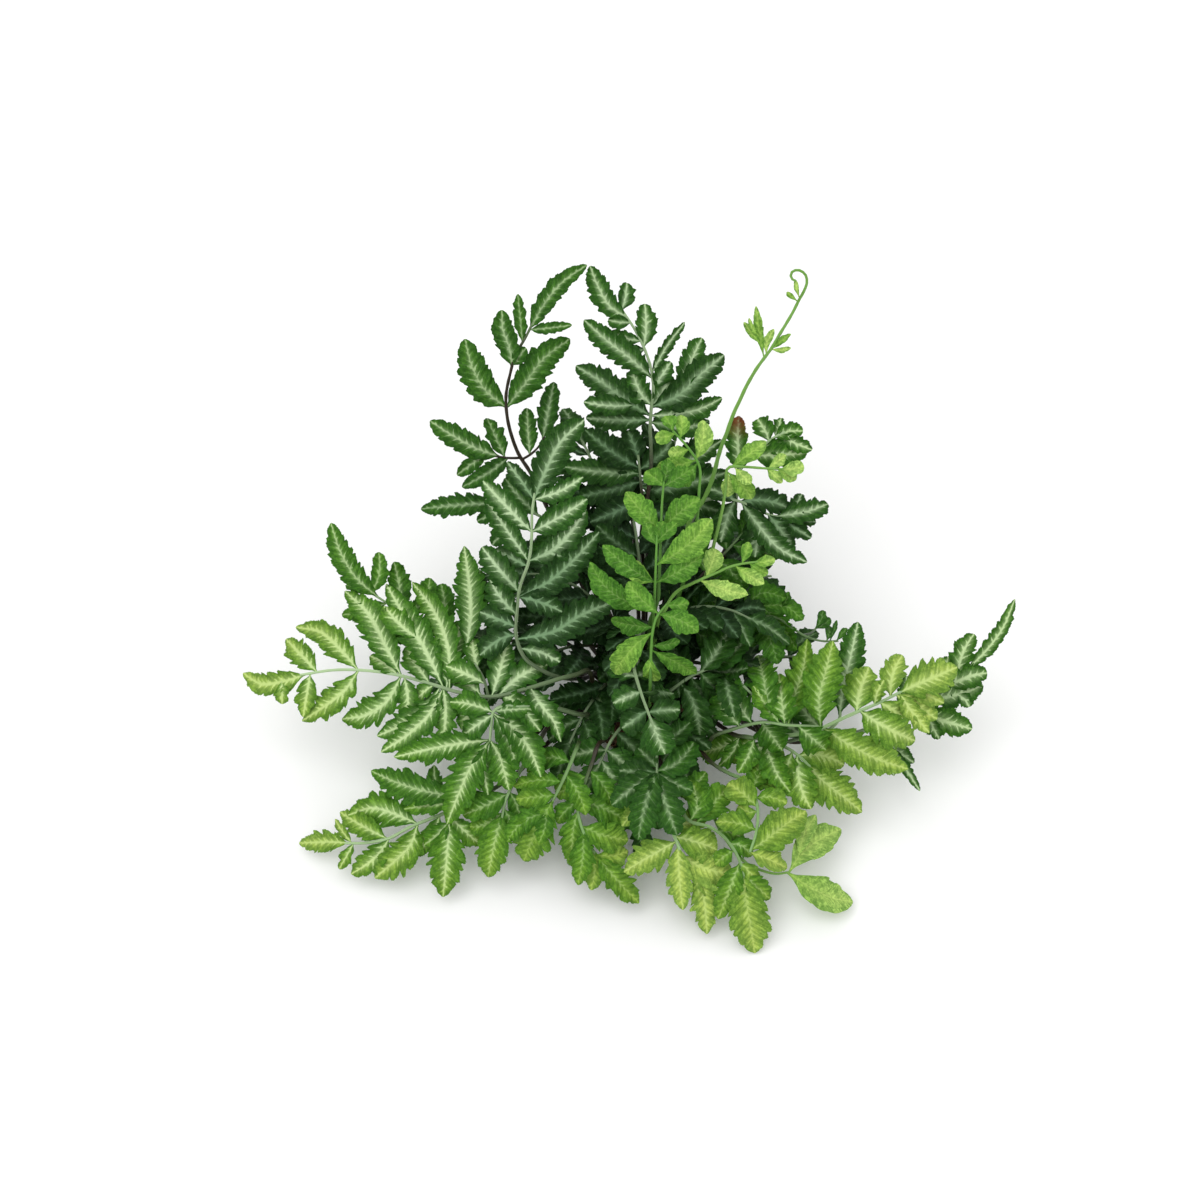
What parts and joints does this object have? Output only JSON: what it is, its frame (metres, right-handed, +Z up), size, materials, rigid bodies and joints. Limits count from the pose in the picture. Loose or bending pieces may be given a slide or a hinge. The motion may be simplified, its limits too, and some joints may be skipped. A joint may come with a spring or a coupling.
{
  "type": "silver lace fern",
  "caption": "Young fern lifted with its rootstock: arching pinnate fronds with silvery feathered leaflets, upright young fronds and a coiled crozier, resting on its flat root mass.",
  "frame": {"origin": "centre of the flat underside of the root mass, where the plant rests", "axes": "+Z up, as the plant grows; +X to the plant's right, along its longest spread, seen from the front; -Y towards the front, where the lowest fronds arch down"},
  "size_m": [0.3911, 0.2745, 0.2326],
  "materials": {
    "dark_frond": "satin",
    "lime_frond": "satin",
    "young_frond": "satin",
    "small_frond": "matte",
    "rhizome": "matte",
    "roots": "matte"
  },
  "bodies": {
    "root": {"frond_back_left": "dark_frond", "frond_back_centre": "dark_frond", "frond_back_inner": "dark_frond", "young_crozier": "young_frond", "young_frond_top": "young_frond", "young_frond_inner": "young_frond", "young_frond_centre": "young_frond", "young_frond_right": "young_frond", "young_frond_low": "young_frond", "young_frond_right_top": "young_frond", "frond_right_back": "dark_frond", "frond_right_silver": "dark_frond", "frond_right_mid": "dark_frond", "frond_right_inner": "dark_frond", "small_arching_frond": "small_frond", "frond_right_dark": "dark_frond", "frond_right_fore": "lime_frond", "frond_right_front": "lime_frond", "frond_right_far": "dark_frond", "frond_right_low": "lime_frond", "frond_front_right_inner": "lime_frond", "frond_front_right": "lime_frond", "frond_front_far_right": "young_frond", "frond_front_centre": "lime_frond", "frond_front_mid_left": "lime_frond", "frond_front_left_wide": "lime_frond", "frond_front_left": "lime_frond", "frond_front_low_left": "lime_frond", "frond_left_low": "lime_frond", "frond_left_front": "lime_frond", "frond_left_silver": "lime_frond", "frond_left_back": "dark_frond", "frond_centre_silver": "dark_frond", "frond_left_upper": "dark_frond", "frond_centre_forward": "dark_frond", "frond_centre_low": "dark_frond", "frond_centre_right": "dark_frond", "frond_centre_left_low": "dark_frond", "frond_rear_1": "dark_frond", "frond_rear_2": "dark_frond", "frond_rear_3": "dark_frond", "frond_rear_4": "dark_frond", "frond_rear_5": "dark_frond", "frond_rear_right": "dark_frond", "frond_rear_left": "dark_frond", "frond_lower_rear": "dark_frond", "frond_lower_right": "dark_frond", "frond_lower_left": "dark_frond", "frond_lower_front": "dark_frond", "frond_inner_left": "dark_frond", "frond_inner_front_left": "dark_frond", "frond_inner_front": "dark_frond", "frond_inner_right": "dark_frond", "frond_inner_right_back": "dark_frond", "frond_inner_left_back": "dark_frond", "frond_inner_back": "dark_frond", "frond_inner_top": "dark_frond", "frond_inner_top_right": "dark_frond", "rhizome_crown": "rhizome", "root_mass": "roots"}
  },
  "joints": []
}
